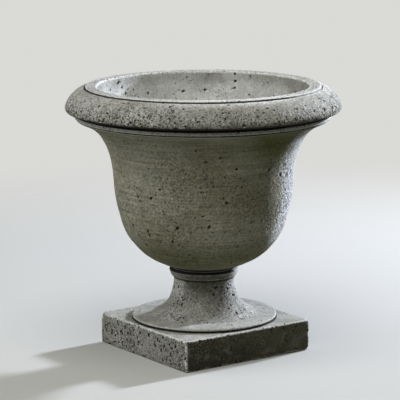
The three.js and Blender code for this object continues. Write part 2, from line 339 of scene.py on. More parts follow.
@dataclass
class Skin:
    """Closed grid of points: rows follow the outline, columns go round.

    sunk is how deep each point is pressed in, grit the share of fine pits there, stain how
    dark it is tinted by stains and painted shade, soot the painted shade and other darkening
    that it holds, rubbed how much paler it is made by wear and painted highlights and chipped
    the depth of its chips, which hold no grime.
    """

    points: Array
    zones: list[Zone]
    sunk: Array = field(init=False)
    grit: Array = field(init=False)
    stain: Array = field(init=False)
    soot: Array = field(init=False)
    rubbed: Array = field(init=False)
    chipped: Array = field(init=False)

    SMALLEST = 0.0015
    SIZE_SLOPE = 3.0
    DEPTHS = (0.7, 1.15)
    STRETCHES = (1.0, 1.35)
    LEAST_STEP = 1e-4
    WINDOW = 16
    REACH = 1.3
    FLATNESS = 4.0
    WOBBLES = ((2, 0.10), (3, 0.08))
    EDGE_REACH = 2
    EDGE = Ramp(0.35, 1.1)
    FIELDS = ((0.055, 0.38), (0.011, 0.27), (0.0038, 0.35))
    LEAST_CRUMBLE = 0.25
    CRUMBS = ((0.009, 1.3), (0.0035, 0.7))
    HOLE_DIRT = 1.5
    FULL_EDGE = 1.5
    HOLE_RIM = 0.35
    CORNER_DIRT = 0.8

    def __post_init__(self) -> None:
        """Start with nothing pressed in, and with each zone's own grit, painted shade and wear."""
        shape = self.points.shape[:2]
        self.sunk, self.stain, self.chipped = (np.zeros(shape) for _ in range(3))
        for name in ("grit", "soot", "rubbed"):
            setattr(self, name, np.broadcast_to(self.by_zone(name)[:, None], shape).copy())

    @classmethod
    def turned(cls, outline: Outline, columns: int, base: float) -> "Skin":
        """Skin of an outline turned about Z: x = r cos a, y = r sin a, z = base + height.

        Args:
            outline: closed outline in radius and height.
            columns: points round the axis.
            base: height of the outline's zero.

        Returns:
            The skin.
        """
        radius, height = outline.points.T
        angle = np.arange(columns) * (2.0 * math.pi / columns)
        points = np.stack((np.outer(radius, np.cos(angle)), np.outer(radius, np.sin(angle)),
                           np.repeat(base + height[:, None], columns, axis=1)), axis=-1)
        return cls(points, outline.zones)

    @property
    def axes(self) -> tuple[Array, Array, Array]:
        """The points' three coordinates, apart."""
        return self.points[..., 0], self.points[..., 1], self.points[..., 2]

    def by_zone(self, name: str) -> Array:
        """One named value of each row's zone."""
        return np.array([getattr(ZONE_LOOKS[zone], name) for zone in self.zones])

    def rows(self, *zones: Zone) -> Array:
        """Numbers of the rows that lie in some zones."""
        return np.array([index for index, zone in enumerate(self.zones) if zone in zones])

    def spans(self) -> tuple[Array, Array]:
        """Half the step between each point's neighbours, around and along."""
        around, along = ((np.roll(self.points, -1, axis=axis) - np.roll(self.points, 1, axis=axis))
                         / 2.0 for axis in (1, 0))
        return around, along

    def normals(self) -> Array:
        """Outward direction at each point: the cross product of its two spans."""
        return unit(np.cross(*self.spans()))

    def side(self, way: Array = LIT_SIDE) -> Array:
        """How far each point lies to one side: cosine of its azimuth from there."""
        plan = self.points[..., :2]
        return plan @ way / lengths(plan)

    def bends(self) -> tuple[Array, Array]:
        """How far the surface turns at each point, over a few cells to each side: minus the
        normal's share of the sum of the unit steps to both sides, along rows and columns.

        Returns:
            The greatest turn outwards, as on an edge, and the greatest inwards.
        """
        normal = self.normals()
        turns = [-np.sum(sum(unit(np.roll(self.points, reach, axis=axis) - self.points)
                             for reach in (-self.EDGE_REACH, self.EDGE_REACH)) * normal, axis=-1)
                 for axis in (0, 1)]
        return np.maximum(*turns), -np.minimum(*turns)

    def drill(self, rows: Array, bars: Sequence[str], upwards: bool) -> None:
        """Sink blind holes that clear upright bars of the frame into a flat face: points
        inside a circle move by the depth along Z, and those on both sides of its line are
        first drawn onto it.

        Args:
            rows: rows of the face.
            bars: nodes of the bars, all alike.
            upwards: whether they stand up into it, and not down.
        """
        face = self.points[rows]
        low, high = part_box(bars[0])
        radius = (high[1] - low[1]) / 2.0 + FIT_GAP
        depth = (high[2] + FIT_GAP if upwards else low[2] - FIT_GAP) - face[0, 0, 2]
        for bar in bars:
            centre = np.mean(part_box(bar), axis=0)[:2]
            offset = face[..., :2] - centre
            reach = lengths(offset)
            inside = reach < radius
            border = np.any([inside != np.roll(inside, step, axis=axis)
                             for axis in (0, 1) for step in (-1, 1)], axis=0)
            drawn = centre + offset * (radius / reach)[..., None]
            face[..., :2] = np.where(border[..., None], drawn, face[..., :2])
            face[..., 2] += np.where(inside, depth, 0.0)
        self.points[rows] = face

    def press(self, holes: Sequence[Hole], rng: np.random.Generator) -> None:
        """Press holes, each at the point of the grid that is nearest to its place.

        Args:
            holes: what is pressed.
            rng: source of their turns and wobbles.
        """
        normal = self.normals()
        for hole in holes:
            gaps = np.sum((self.points - hole.place) ** 2, axis=-1)
            self._press_at(*np.unravel_index(np.argmin(gaps), gaps.shape), hole, rng, normal)

    def chip(self, chips: Sequence[Hole], rng: np.random.Generator) -> None:
        """Press the chips, before any hole, and remember their depth."""
        self.press(chips, rng)
        self.chipped = self.sunk.copy()

    def _press_at(self, row: int, column: int, hole: Hole, rng: np.random.Generator,
                  normal: Array) -> None:
        """Press one hole: depth * sqrt(1 - q * q), where q is the distance from its centre in
        units of an oval whose edge wobbles with two and three waves. Steps along the normal
        count half.

        Args:
            row: row of its middle.
            column: column of its middle.
            hole: what is pressed.
            rng: source of its turn and wobble.
            normal: the skin's outward directions.
        """
        here, facing = self.points[row, column], normal[row, column]
        spread = hole.radius * hole.stretch * self.REACH
        picks = []
        for middle, count, along in ((row, len(self.sunk), True),
                                     (column, self.sunk.shape[1], False)):
            near = [self.points[way, column] if along else self.points[row, way]
                    for way in ((middle - 1) % count, (middle + 1) % count)]
            step = max(min(np.linalg.norm(point - here) for point in near), self.LEAST_STEP)
            reach = min(int(spread / step) + 1, self.WINDOW)
            picks.append((middle + np.arange(-reach, reach + 1)) % count)
        window = np.ix_(*picks)
        side = np.cross(facing, rng.normal(size=3))
        side /= np.linalg.norm(side)
        other = np.cross(facing, side)
        offset = self.points[window] - here
        oval = math.sqrt(hole.stretch)
        u, v = offset @ side / oval, offset @ other * oval
        angle = np.arctan2(v, u)
        wobble = 1.0
        for (waves, height), phase in zip(self.WOBBLES, rng.random(2) * 2.0 * math.pi):
            wobble = wobble + height * np.cos(waves * angle + phase)
        rise = (offset @ facing) ** 2 / self.FLATNESS
        q = np.sqrt(u * u + v * v + rise) / (hole.radius * wobble)
        bowl = hole.depth * np.sqrt(np.clip(1.0 - q * q, 0.0, 1.0))
        self.sunk[window] = np.maximum(self.sunk[window], bowl)

    def scatter(self, rng: np.random.Generator, share: Array) -> None:
        """Press bug holes at random: as many as the zones ask for on their area, most small.

        Args:
            rng: source of their places and sizes.
            share: how much of the zones' density holds at each point.
        """
        normal = self.normals()
        area = np.linalg.norm(np.cross(*self.spans()), axis=-1)
        weight = area * self.by_zone("holes")[:, None] * share
        count = rng.poisson(weight.sum())
        picks = rng.choice(weight.size, size=count, p=(weight / weight.sum()).ravel())
        largest = self.by_zone("largest")[picks // weight.shape[1]]
        size = self.SMALLEST * (largest / self.SMALLEST) ** (rng.random(count) ** self.SIZE_SLOPE)
        for pick, radius in zip(picks, size):
            row, column = divmod(int(pick), weight.shape[1])
            hole = Hole((), radius, radius * rng.uniform(*self.DEPTHS),
                        rng.uniform(*self.STRETCHES))
            self._press_at(row, column, hole, rng, normal)

    def wear(self, noise: LatticeNoise) -> None:
        """Take off the surface's uneven skin and the stone lost at its edges, with all that
        was pressed in. Each point moves inwards along its normal, by relief * (1 + n) / 2
        summed over three lengths of noise, plus crumble * the edge's turn * noise.

        Args:
            noise: field that the unevenness follows.
        """
        lost, chips = self.sunk.copy(), self.LEAST_CRUMBLE
        relief = self.by_zone("relief")[:, None]
        for length, share in self.FIELDS:
            lost += relief * share * (1.0 + noise(self.points, length)) / 2.0
        for shift, (length, share) in enumerate(self.CRUMBS, 1):
            chips = chips + np.clip(noise(self.points + shift, length), 0.0, 1.0) * share
        lost += self.EDGE(self.bends()[0]) * self.by_zone("crumble")[:, None] * chips
        self.points = self.points - self.normals() * lost[..., None]

    def build(self, name: str) -> Thing:
        """Mesh object of the skin: each cell of the grid is a face with its front outwards,
        and both directions of the grid close on themselves.

        Args:
            name: name of the object and its mesh.

        Returns:
            The object, with point attributes hollow, edge, grit and stain.
        """
        index = np.arange(self.sunk.size).reshape(self.sunk.shape)
        right, above = np.roll(index, -1, axis=1), np.roll(index, -1, axis=0)
        corners = np.stack((index, right, np.roll(right, -1, axis=0), above), axis=-1)
        mesh = bpy.data.meshes.new(name)
        mesh.vertices.add(index.size)
        mesh.loops.add(corners.size)
        mesh.polygons.add(index.size)
        for target, key, values in (
                (mesh.vertices, "co", self.points.astype(np.float32)),
                (mesh.loops, "vertex_index", corners.astype(np.int32)),
                (mesh.polygons, "loop_start", np.arange(0, corners.size, 4, dtype=np.int32)),
                (mesh.polygons, "use_smooth", np.ones(index.size, dtype=bool))):
            target.foreach_set(key, values.ravel())
        mesh.update(calc_edges=True)
        edge, inner = self.bends()
        bored = self.sunk - self.chipped
        near = np.max([np.roll(bored, (row, column), axis=(0, 1))
                       for row in (-1, 0, 1) for column in (-1, 0, 1)], axis=0)
        # Holes darken with grime and painted shade, concave corners with painted shade, and the
        # edge field takes pale wear and painted highlights
        held = np.clip(self.HOLE_DIRT * bored / self.SMALLEST, 0.0, 1.0) + self.soot
        edge = np.clip(edge, 0.0, self.FULL_EDGE) * np.where(near > 0.0, self.HOLE_RIM, 1.0)
        fields = {
            "hollow": held + np.clip(inner, 0.0, 1.0) * self.CORNER_DIRT,
            "edge": edge + self.rubbed, "grit": self.grit, "stain": self.stain,
        }
        for key, values in fields.items():
            layer = mesh.attributes.new(key, "FLOAT", "POINT")
            layer.data.foreach_set("value", values.astype(np.float32).ravel())
        thing = bpy.data.objects.new(name, mesh)
        bpy.context.scene.collection.objects.link(thing)
        return thing


# Node trees

class Sheet:
    """Lays out the nodes of one tree in short calls."""

    def __init__(self, tree: bpy.types.NodeTree) -> None:
        """Keep the tree that the nodes go into."""
        self.tree = tree

    def add(self, kind: str, feeds: dict | None = None, **settings: object) -> bpy.types.Node:
        """Add a node.

        Args:
            kind: the node's type, without the word that all types start with.
            feeds: value or source of each input, by its name or number.
            settings: the node's own properties.

        Returns:
            The node.
        """
        node = self.tree.nodes.new(kind if kind.startswith("Node") else "ShaderNode" + kind)
        for name, value in settings.items():
            setattr(node, name, value)
        for name, value in (feeds or {}).items():
            self.feed(node.inputs[name], value)
        return node

    def feed(self, socket: Socket, value: object) -> None:
        """Link a source to an input, or set the input's value."""
        if isinstance(value, bpy.types.NodeSocket):
            self.tree.links.new(value, socket)
        elif isinstance(value, tuple) and len(value) == 3 and socket.type == "RGBA":
            socket.default_value = (*value, 1.0)
        else:
            socket.default_value = value

    def maths(self, operation: str, *feeds: object, clamp: bool = False) -> Socket:
        """Result of one sum on numbers."""
        return self.add("Math", dict(enumerate(feeds)), operation=operation,
                        use_clamp=clamp).outputs[0]

    def times(self, first: object, second: object, plus: object = None) -> Socket:
        """Product of two numbers, and a third added to it if there is one."""
        if plus is None:
            return self.maths("MULTIPLY", first, second)
        return self.maths("MULTIPLY_ADD", first, second, plus)

    def vector(self, operation: str, *feeds: object) -> Socket:
        """Result of one sum on vectors."""
        return self.add("VectorMath", dict(enumerate(feeds)), operation=operation).outputs[0]

    def span(self, source: object, low: object, high: object, first: float = 0.0,
             last: float = 1.0) -> Socket:
        """Smooth rise from first at low to last at high."""
        return self.add("MapRange", {
            "Value": source, "From Min": low, "From Max": high, "To Min": first, "To Max": last,
        }, interpolation_type="SMOOTHSTEP").outputs[0]

    def blend(self, share: object, first: object, last: object, kind: str = "MIX") -> Socket:
        """Colour between two colours."""
        return self.add("Mix", {0: share, 6: first, 7: last}, data_type="RGBA",
                        blend_type=kind).outputs[2]

    def scaled(self, source: Socket, factor: object) -> Socket:
        """Vector or colour times a number."""
        return self.add("VectorMath", {0: source, "Scale": factor}, operation="SCALE").outputs[0]

    def noise(self, place: Socket, scale: object, detail: float, roughness: float) -> Socket:
        """Soft noise from 0 to 1."""
        return self.add("TexNoise", {"Vector": place, "Scale": scale, "Detail": detail,
                                     "Roughness": roughness}).outputs[0]

    def cells(self, place: Socket, scale: object) -> tuple[Socket, Sequence[Socket]]:
        """Cells round random points: distance from the point, and a cell's own random draws."""
        node = self.add("TexVoronoi", {"Vector": place, "Scale": scale}, feature="F1")
        draws = self.add("SeparateColor", {0: node.outputs["Color"]}).outputs
        return node.outputs["Distance"], draws

    def group(self, tree: bpy.types.NodeTree, **feeds: object) -> dict[str, Socket]:
        """Outputs of a node group, by name."""
        return dict(self.add("Group", feeds, node_tree=tree).outputs.items())

    def bump(self, shader: bpy.types.Node, height: Socket, distance: float) -> None:
        """Give a shader the small relief of a height."""
        node = self.add("Bump", {"Strength": 1.0, "Distance": distance, "Height": height})
        self.feed(shader.inputs["Normal"], node.outputs["Normal"])

    def seen(self) -> Socket:
        """1 where the camera sees the surface, straight or mirrored, and 0 for other light."""
        ray = self.add("LightPath").outputs
        return self.maths("MAXIMUM", ray["Is Camera Ray"], ray["Is Glossy Ray"])


def new_group(name: str, inputs: dict[str, float | None], *outputs: str,
              ) -> tuple[Sheet, dict[str, Socket], bpy.types.Node]:
    """Start a node group with named sockets.

    Args:
        name: name of the group.
        inputs: starting value of each input, or None for a vector.
        outputs: names of its numbers.

    Returns:
        The group's sheet, its inputs by name, and the node that its results go into.
    """
    tree = bpy.data.node_groups.new(name, "ShaderNodeTree")
    for key, value in inputs.items():
        kind = "NodeSocketVector" if value is None else "NodeSocketFloat"
        item = tree.interface.new_socket(name=key, in_out="INPUT", socket_type=kind)
        if value is not None:
            item.default_value = value
    for key in outputs:
        tree.interface.new_socket(name=key, in_out="OUTPUT", socket_type="NodeSocketFloat")
    sheet = Sheet(tree)
    source = sheet.add("NodeGroupInput")
    return sheet, dict(source.outputs.items()), sheet.add("NodeGroupOutput")


class Effects:
    """Surface effects that more than one finish uses, each a node group built once."""

    @cached_property
    def grain(self) -> bpy.types.NodeTree:
        """Sand grain: fine noise with light and dark specks, from -1 to 1."""
        sheet, given, out = new_group("sand_grain", {"Vector": None, "Scale": 400.0}, "Tone")
        soft = sheet.times(sheet.noise(given["Vector"], given["Scale"], 2.0, 0.55), 2.6, -1.3)
        _, draws = sheet.cells(given["Vector"], sheet.times(given["Scale"], 1.6))
        speck = sheet.times(draws[0], 1.1, -0.55)
        sheet.feed(out.inputs["Tone"], sheet.maths("ADD", soft, speck))
        return sheet.tree

    @cached_property
    def pits(self) -> bpy.types.NodeTree:
        """Pits: a dot in a share of the cells of a random lattice, each of its own size."""
        sheet, given, out = new_group(
            "air_pits", {"Vector": None, "Scale": 250.0, "Density": 0.5, "Size": 0.35}, "Mask")
        wander = sheet.add("TexNoise", {
            "Vector": given["Vector"], "Scale": sheet.times(given["Scale"], 1.7), "Detail": 1.0})
        bent = sheet.vector("SUBTRACT", wander.outputs["Color"], (0.5, 0.5, 0.5))
        bent = sheet.scaled(bent, sheet.maths("DIVIDE", 0.9, given["Scale"]))
        distance, draws = sheet.cells(sheet.vector("ADD", given["Vector"], bent), given["Scale"])
        radius = sheet.times(given["Size"], sheet.times(draws[0], 0.6, 0.4))
        dot = sheet.span(distance, sheet.times(radius, 0.55), radius, 1.0, 0.0)
        there = sheet.maths("LESS_THAN", draws[1], given["Density"])
        sheet.feed(out.inputs["Mask"], sheet.times(dot, there))
        return sheet.tree

    @cached_property
    def mottle(self) -> bpy.types.NodeTree:
        """Clouding of the colour, from 0 to 1: large patches with smaller ones in them."""
        sheet, given, out = new_group("stone_mottle", {"Vector": None, "Scale": 9.0}, "Tone")
        large = sheet.noise(given["Vector"], given["Scale"], 3.0, 0.55)
        small = sheet.noise(given["Vector"], sheet.times(given["Scale"], 6.0), 3.0, 0.65)
        both = sheet.times(small, 0.5, sheet.times(large, 0.5))
        sheet.feed(out.inputs["Tone"], sheet.span(both, 0.36, 0.64))
        return sheet.tree

    @cached_property
    def lines(self) -> bpy.types.NodeTree:
        """Level lines left by a tool that went round: noise drawn out sideways, -1 to 1."""
        sheet, given, out = new_group(
            "level_lines", {"Vector": None, "Across": 9.0, "Up": 330.0}, "Tone")
        stretch = sheet.add("CombineXYZ", {
            0: given["Across"], 1: given["Across"], 2: given["Up"]}).outputs[0]
        streak = sheet.noise(sheet.vector("MULTIPLY", given["Vector"], stretch), 1.0, 2.0, 0.6)
        sheet.feed(out.inputs["Tone"], sheet.times(streak, 3.0, -1.5))
        return sheet.tree

    @cached_property
    def weather(self) -> bpy.types.NodeTree:
        """Weathering: pale wear and painted highlights on edges and lit stretches, and grime and
        painted shade where they are held, not taken off by the paling, both broken by noise."""
        sheet, given, out = new_group(
            "weathering", {"Vector": None, "Hollow": 0.0, "Edge": 0.0, "Scale": 90.0},
            "Dirt", "Wear")
        ragged = sheet.noise(given["Vector"], given["Scale"], 4.0, 0.65)
        held = sheet.times(ragged, 0.5, sheet.maths("ADD", given["Hollow"], -0.25))
        rubbed = sheet.times(given["Edge"], sheet.maths("ADD", ragged, 0.4))
        wear = sheet.span(rubbed, 0.22, 0.75)
        shallow = sheet.maths("SUBTRACT", 1.0, given["Hollow"], clamp=True)
        kept = sheet.times(sheet.times(wear, shallow), -0.8, 1.0)
        sheet.feed(out.inputs["Dirt"], sheet.times(kept, sheet.span(held, 0.18, 0.85)))
        sheet.feed(out.inputs["Wear"], wear)
        return sheet.tree


def new_material(name: str) -> tuple[bpy.types.Material, Sheet, bpy.types.Node, Socket]:
    """Start a material.

    Args:
        name: its name.

    Returns:
        The material, its sheet, its surface shader, and the place on the object.
    """
    material = bpy.data.materials.new(name)
    material.use_nodes = True
    sheet = Sheet(material.node_tree)
    shader = material.node_tree.nodes["Principled BSDF"]
    return material, sheet, shader, sheet.add("TexCoord").outputs["Object"]


@dataclass(frozen=True)
class PitLook:
    """One size of pits: their scale, a dot's share of its cell, the share of the cells that
    have one on full grit, and their depth in the bump."""

    scale: float
    size: float
    density: float
    depth: float


@dataclass(frozen=True)
class StoneFinish:
    """Weathered cast stone of one piece.

    light and dark are the tones of its clouding, pit the colour inside its pits, their grime
    and painted shade, dirt the colour of grime and painted shade where they are held, and
    worn the colour of pale wear and painted highlights. stain tints its stains and its
    painted shade. fine and coarse scale the two sizes of pits, grain the sand grain's tones
    and uneven its height, and tooling is the strength of level lines.
    """

    name: str
    light: Colour = (0.475, 0.470, 0.445)
    dark: Colour = (0.345, 0.342, 0.318)
    pit: Colour = (0.030, 0.029, 0.025)
    dirt: Colour = (0.036, 0.034, 0.028)
    worn: Colour = (0.740, 0.740, 0.720)
    stain: Colour = (0.34, 0.34, 0.28)
    fine: float = 1.0
    coarse: float = 1.0
    grain: float = 0.42
    uneven: float = 0.30
    tooling: float = 0.0

    FINE = PitLook(290.0, 0.52, 0.45, -0.7)
    COARSE = PitLook(165.0, 0.48, 0.30, -1.1)
    CLOUD_SCALE = 9.0
    GRAIN_SCALE = 250.0
    ROUGHNESS = (0.84, 0.97)

    def build(self, effects: Effects) -> bpy.types.Material:
        """Make the material: clouding, stains, wear, grime, painted light and shade, grain, lines,
        pits.

        Args:
            effects: shared node groups.

        Returns:
            The material.
        """
        material, sheet, shader, place = new_material(self.name)
        grit, hollow, edge, stain = (sheet.add("Attribute", attribute_name=name).outputs["Fac"]
                                     for name in ("grit", "hollow", "edge", "stain"))
        tone = sheet.group(effects.mottle, Vector=place, Scale=self.CLOUD_SCALE)["Tone"]
        grain = sheet.group(effects.grain, Vector=place, Scale=self.GRAIN_SCALE)["Tone"]
        rough = sheet.times(grit, 0.85, 0.25)
        lines = sheet.group(effects.lines, Vector=place)["Tone"]
        fine, coarse = (
            sheet.group(effects.pits, Vector=place, Scale=look.scale, Size=look.size,
                        Density=sheet.times(grit, amount * look.density))["Mask"]
            for look, amount in ((self.FINE, self.fine), (self.COARSE, self.coarse)))
        weather = sheet.group(effects.weather, Vector=place, Hollow=hollow, Edge=edge)

        colour = sheet.blend(tone, self.dark, self.light)
        shine = sheet.times(grain, sheet.times(rough, self.grain), 1.0)
        tooled = sheet.times(sheet.times(grit, -0.8, 1.4), lines)
        shine = sheet.times(tooled, self.tooling, shine)
        # Stains and painted shade, then pale wear and painted highlights, grime and painted shade,
        # and pits whose dark paints their shade
        colour = sheet.blend(stain, colour, self.stain, "MULTIPLY")
        colour = sheet.blend(sheet.times(weather["Wear"], 0.9), colour, self.worn)
        colour = sheet.scaled(colour, shine)
        colour = sheet.blend(sheet.times(weather["Dirt"], 0.95), colour, self.dirt)
        fine = sheet.times(fine, sheet.times(weather["Wear"], -0.7, 1.0))
        colour = sheet.blend(sheet.times(fine, 0.9), colour, self.pit)
        colour = sheet.blend(coarse, colour, self.pit)
        sheet.feed(shader.inputs["Base Color"], colour)
        sheet.feed(shader.inputs["Roughness"], sheet.span(grain, -1.0, 1.0, *self.ROUGHNESS))
        shader.inputs["Specular IOR Level"].default_value = 0.3

        height = sheet.times(grain, sheet.times(rough, self.uneven))
        height = sheet.times(tooled, self.tooling * 0.3, height)
        height = sheet.times(fine, self.FINE.depth, height)
        height = sheet.times(coarse, self.COARSE.depth, height)
        sheet.bump(shader, height, 0.001)
        return material


@dataclass(frozen=True)
class FittingFinish:
    """Finish of a fitting inside the urn: one tone with fine clouding, grain and lines."""

    name: str
    light: Colour
    dark: Colour
    roughness: tuple[float, float]
    metallic: float = 0.0
    grain_scale: float = 500.0
    grain_depth: float = 0.1
    line_depth: float = 0.0
    speckle: float = 0.0

    def build(self, effects: Effects) -> bpy.types.Material:
        """Make the material.

        Args:
            effects: shared node groups.

        Returns:
            The material.
        """
        material, sheet, shader, place = new_material(self.name)
        tone = sheet.group(effects.mottle, Vector=place, Scale=40.0)["Tone"]
        grain = sheet.group(effects.grain, Vector=place, Scale=self.grain_scale)["Tone"]
        lines = sheet.group(effects.lines, Vector=place, Across=60.0, Up=900.0)["Tone"]
        pits = sheet.group(effects.pits, Vector=place, Scale=350.0, Density=self.speckle)["Mask"]
        colour = sheet.blend(tone, self.dark, self.light)
        colour = sheet.scaled(colour, sheet.times(grain, 0.12, 1.0))
        colour = sheet.blend(sheet.times(pits, 0.8), colour, self.dark)
        sheet.feed(shader.inputs["Base Color"], colour)
        sheet.feed(shader.inputs["Roughness"], sheet.span(tone, 0.0, 1.0, *self.roughness))
        shader.inputs["Metallic"].default_value = self.metallic
        height = sheet.times(lines, self.line_depth, sheet.times(grain, self.grain_depth))
        height = sheet.times(pits, -0.5 if self.speckle else 0.0, height)
        sheet.bump(shader, height, 0.0006)
        return material


# Castings

PINS = ("bowl_pin_1", "bowl_pin_2", "bowl_pin_3")
RODS = ("stem_rod_1", "stem_rod_2", "stem_rod_3")

# Radii that the pins and the rods stand between, and the bore that the sleeve runs through
PIN_RING = (0.032, 0.052)
ROD_RING = (0.028, 0.048)
BORE = 0.0163

# Bell from the seat to the band: shares of its height and of its top radius
BELL_SHARES = np.array([
    (0.0085, 0.268), (0.024, 0.321), (0.046, 0.379), (0.0735, 0.442), (0.110, 0.501),
    (0.149, 0.546), (0.203, 0.598), (0.257, 0.635), (0.311, 0.659), (0.366, 0.677),
    (0.4195, 0.693), (0.474, 0.7065), (0.528, 0.715), (0.600, 0.7225), (0.672, 0.730),
    (0.727, 0.7395), (0.781, 0.757), (0.831, 0.779), (0.871, 0.805), (0.907, 0.832),
    (0.935, 0.864), (0.961, 0.9045), (0.985, 0.958), (1.0, 1.0),
])

# Stem from the foot to the collar: shares of its height, and of the way from waist to foot
STEM_SHARES = np.array([
    (0.0, 1.0), (0.038, 0.86), (0.09, 0.71), (0.165, 0.54), (0.24, 0.397), (0.325, 0.277),
    (0.41, 0.2), (0.5, 0.145), (0.6, 0.092), (0.7, 0.05), (0.8, 0.019), (0.9, 0.0),
    (1.0, 0.03),
])


@dataclass
class Casting:
    """What the three castings share: their tools, and how a skin becomes a piece."""

    noise: LatticeNoise
    rng: np.random.Generator
    effects: Effects

    def cloud(self, skin: Skin, shift: float, length: float) -> Array:
        """Noise over a skin, with bumps of one length and a field of its own for a shift."""
        return self.noise(skin.points + shift, length)

    def finish(self, skin: Skin, name: str, node: str, body: str, stone: StoneFinish) -> Thing:
        """Weather a skin, build it, dress it and fix it to its body.

        Args:
            skin: the skin, with its holes pressed.
            name: name of the piece.
            node: frame node that the piece stands for.
            body: frame body that carries it.
            stone: its finish.

        Returns:
            The finished piece.
        """
        skin.grit = skin.grit * np.clip(0.8 + 0.6 * self.cloud(skin, 3.0, 0.085), 0.1, 1.4)
        skin.wear(self.noise)
        piece = skin.build(name)
        piece.data.materials.append(stone.build(self.effects))
        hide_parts(node)
        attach(piece, body)
        LOG.info("%s: %d faces", name, len(piece.data.polygons))
        return piece


@dataclass
class Bowl(Casting):
    """The bowl, made as four closed pieces that overlap inside its stone."""

    seat_radius: float = 0.060
    seat_step: float = 0.0022
    seat_core: float = 0.026
    seat_columns: int = 240
    bell_inset: float = 0.003
    bell_core: float = 0.006
    bell_columns: int = 528
    bell_height: float = 0.2765
    bell_top: float = 0.231
    bead_height: float = 0.0022
    bead_stand: float = 0.0016
    incised_line: float = 0.0016
    incised_depth: float = 0.002
    rim_core: float = 0.192
    rim_columns: int = 880
    band_height: float = 0.0075
    band_radius: float = 0.236
    band_edge: float = 0.0012
    groove_height: float = 0.0055
    groove_depth: float = 0.008
    roll_under: float = 0.0065
    roll_inner: float = 0.2194
    roll_exponent: float = 1.6
    lip_radius: float = 0.2166
    lip_rise: float = 0.0032
    lip_edge: float = 0.0016
    lip_crest: float = 0.2104
    quirk_depth: float = 0.0034
    mouth_radius: float = 0.1945
    mouth_edge: float = 0.003
    mouth_inset: float = 0.0007
    throat_flare: float = 0.002
    throat_depth: float = 0.013
    throat_core: float = 0.030
    wall: float = 0.022
    wall_steps: int = 14
    wall_columns: int = 490
    fine_wall: float = 0.13
    floor: float = 0.030
    floor_corner: float = 0.012
    drain: float = 0.011
    drain_flare: float = 0.004
    drain_join: tuple[float, float] = (0.012, 0.014)
    overlap: float = 0.001
    core: float = 0.009
    base: float = field(init=False)
    height: float = field(init=False)
    roll_radius: float = field(init=False)

    HOLES_IN_ROLL = Hole.ring(
        (-66, 466, 250, 3.0, 3.0), (-140, 486, 230, 2.4, 2.2, 1.4), (-168, 468, 249, 2.2, 2.2),
        (-163, 476, 243, 1.9, 2.0), (-83, 474, 244, 2.1, 2.2))
    CHIPS_IN_LIP = Hole.ring(
        (-114, 493, 210, 5.0, 1.6, 1.9), (72, 493, 215, 6.0, 2.2, 1.8),
        (160, 493, 216, 4.5, 1.2, 1.8))
    HOLES_IN_WALL = Hole.ring(
        (110, 482, 193, 2.9, 3.4), (107, 473, 191, 2.5, 2.8), (105, 460, 189, 2.6, 3.0),
        (119, 472, 191, 2.1, 2.4), (88, 456, 188, 2.7, 3.0, 1.4), (66, 456, 188, 2.6, 2.9),
        (54, 457, 188, 2.8, 3.0), (36, 475, 192, 2.7, 3.0), (36, 462, 189, 2.4, 2.6),
        (-10, 467, 190, 2.8, 3.0))
    HOLES_IN_BELL = Hole.ring(
        (-143, 254, 156, 3.1, 3.4), (-122, 258, 157, 3.0, 3.0, 1.5), (-160, 307, 166, 2.6, 2.8),
        (-170, 298, 165, 2.3, 2.6), (178, 248, 154, 2.6, 2.6), (-174, 213, 140, 2.7, 2.8),
        (-82, 356, 171, 2.5, 2.6), (-70, 342, 169, 3.3, 3.6), (-63, 338, 168, 2.8, 3.0),
        (-124, 379, 178, 2.2, 2.4), (-106, 363, 173, 2.4, 2.2, 1.5))

    # Holes, painted light and painted shade of the bell, by height above the seat and by side
    LOWER_BELL = Ramp(0.26, 0.17)
    OFF_THE_SEAT = Ramp(0.035, 0.085)
    UPPER_BELL = Ramp(0.190, 0.265)
    # Painted shade just above the seat, and a colour darker towards the seat
    SEAT_SOOT = Ramp(0.009, 0.0045, 1.5)
    SEAT_STAIN = Ramp(0.085, 0.02, 0.65)
    # Painted light over the half away from the shaded front, brightest on the sun side; more pits
    # in the sun paint the relief's shadows
    BLEACH_FROM = Ramp(0.025, 0.080)
    LIT_GRIT = Ramp(0.60, 0.92, 0.9)
    SHADED_FLANK = Ramp(0.06, 0.26)
    BLEACHED_FLANK = Ramp(-0.26, 0.02)
    SUN_BLEACH = Ramp(0.50, 0.85, 0.20)

    # Holes, painted light and shade of the rim, by how far it faces up, by side and by depth under
    # its top
    ROLL_FLANK = Ramp(0.85, 0.25)
    ROLL_SHADE = Ramp(0.45, -0.15)
    ROLL_CREST = Ramp(0.65, 0.97)
    UNDER_SOOT = Ramp(-0.25, -0.75, 1.2)
    END_HOLES = Ramp(0.60, 0.90, 0.25)
    CLEAN_END = Ramp(0.21, 0.29)
    FRONT = Ramp(0.05, 0.18)
    RIGHT_SHADE = Ramp(-0.05, 0.20)
    SUN_END = Ramp(0.86, 0.98, 0.25)
    BAND_DIRT_SHARES = np.array((0.65, 1.1))
    LIP_DIRT_SHARES = np.array((0.3, 0.9))

    # Painted light and painted shade of the wall's inner side, by depth below the rim's top and by
    # side
    BELOW_MOUTH = Ramp(0.035, 0.060)
    MOUTH_STAIN = Ramp(0.034, 0.010, 0.55)
    DEEP_STAIN = Ramp(0.09, 0.30, 0.50)
    BRIGHT_WALL = Ramp(0.18, 0.26)
    WALL_SHADE = Ramp(0.10, 0.22, 0.45)

    def __post_init__(self) -> None:
        """Take the seat's height, the overall height and the rim's radius from the frame."""
        low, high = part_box("bowl")
        self.base, self.height, self.roll_radius = low[2], high[2] - low[2], high[0]

    def bell_curve(self) -> Array:
        """Outer side of the bell, from the seat up, as a spline through its shares."""
        corners = BELL_SHARES[:, ::-1] * (self.bell_top, self.bell_height)
        return spline(corners)

